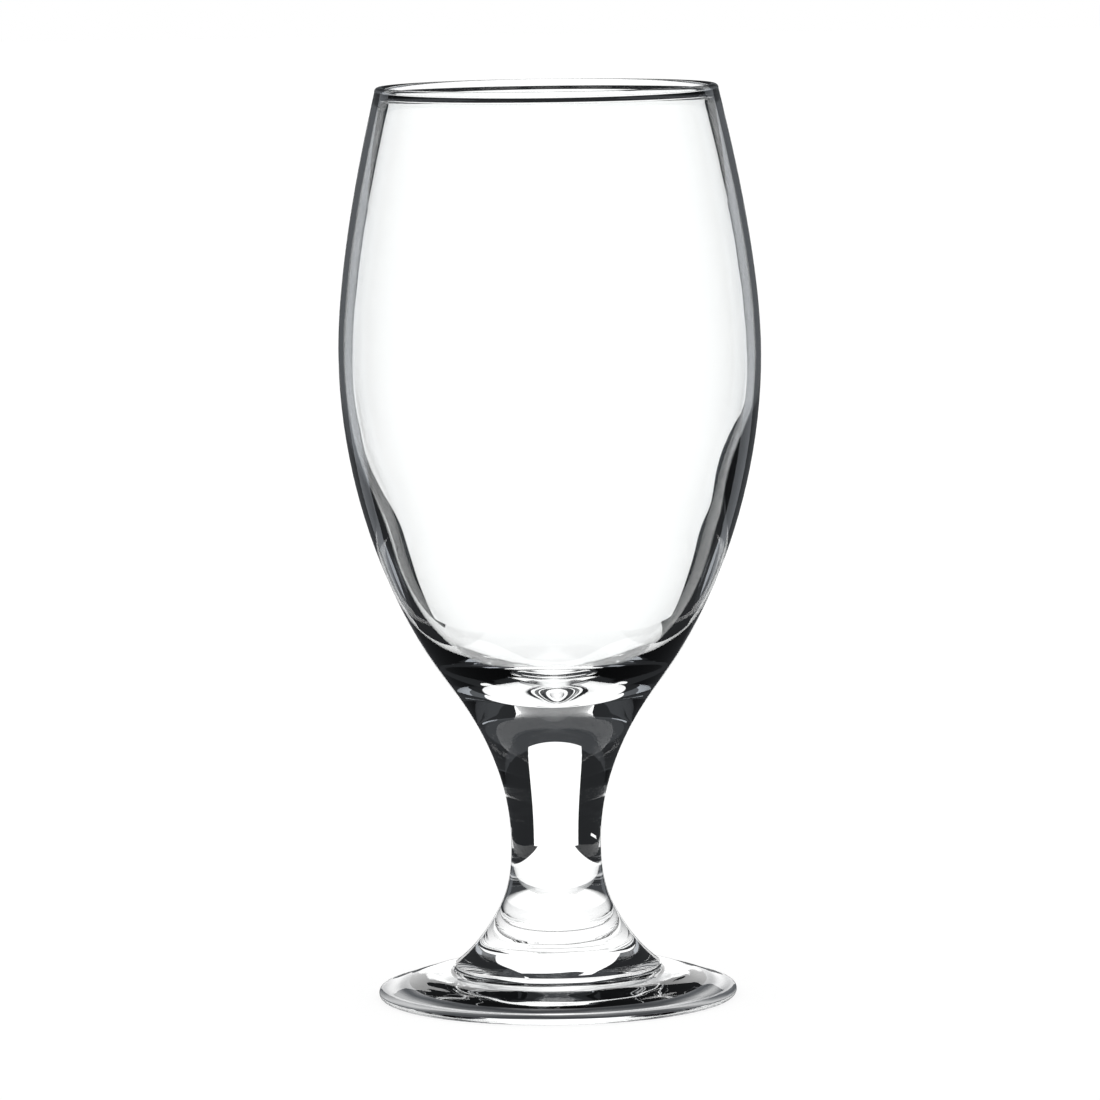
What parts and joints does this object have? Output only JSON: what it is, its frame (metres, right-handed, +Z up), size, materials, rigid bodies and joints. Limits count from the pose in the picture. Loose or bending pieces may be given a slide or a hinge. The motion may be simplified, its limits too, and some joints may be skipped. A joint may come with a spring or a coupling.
{
  "type": "stemmed beer glass",
  "caption": "Tall clear stemmed beer glass: barrel bowl with a beaded rim and heavy floor, short solid waisted stem and round foot with a stepped hub.",
  "frame": {"origin": "centre of the foot, on the plane that the glass stands on", "axes": "+Z up along the axis that all three gathers are turned about; X and Y are free because the glass is round"},
  "size_m": [0.082, 0.082, 0.178],
  "materials": {
    "clear_glass": "fire-polished clear soda-lime glass"
  },
  "bodies": {
    "root": {"bowl": "clear_glass", "stem": "clear_glass", "foot": "clear_glass"}
  },
  "joints": []
}
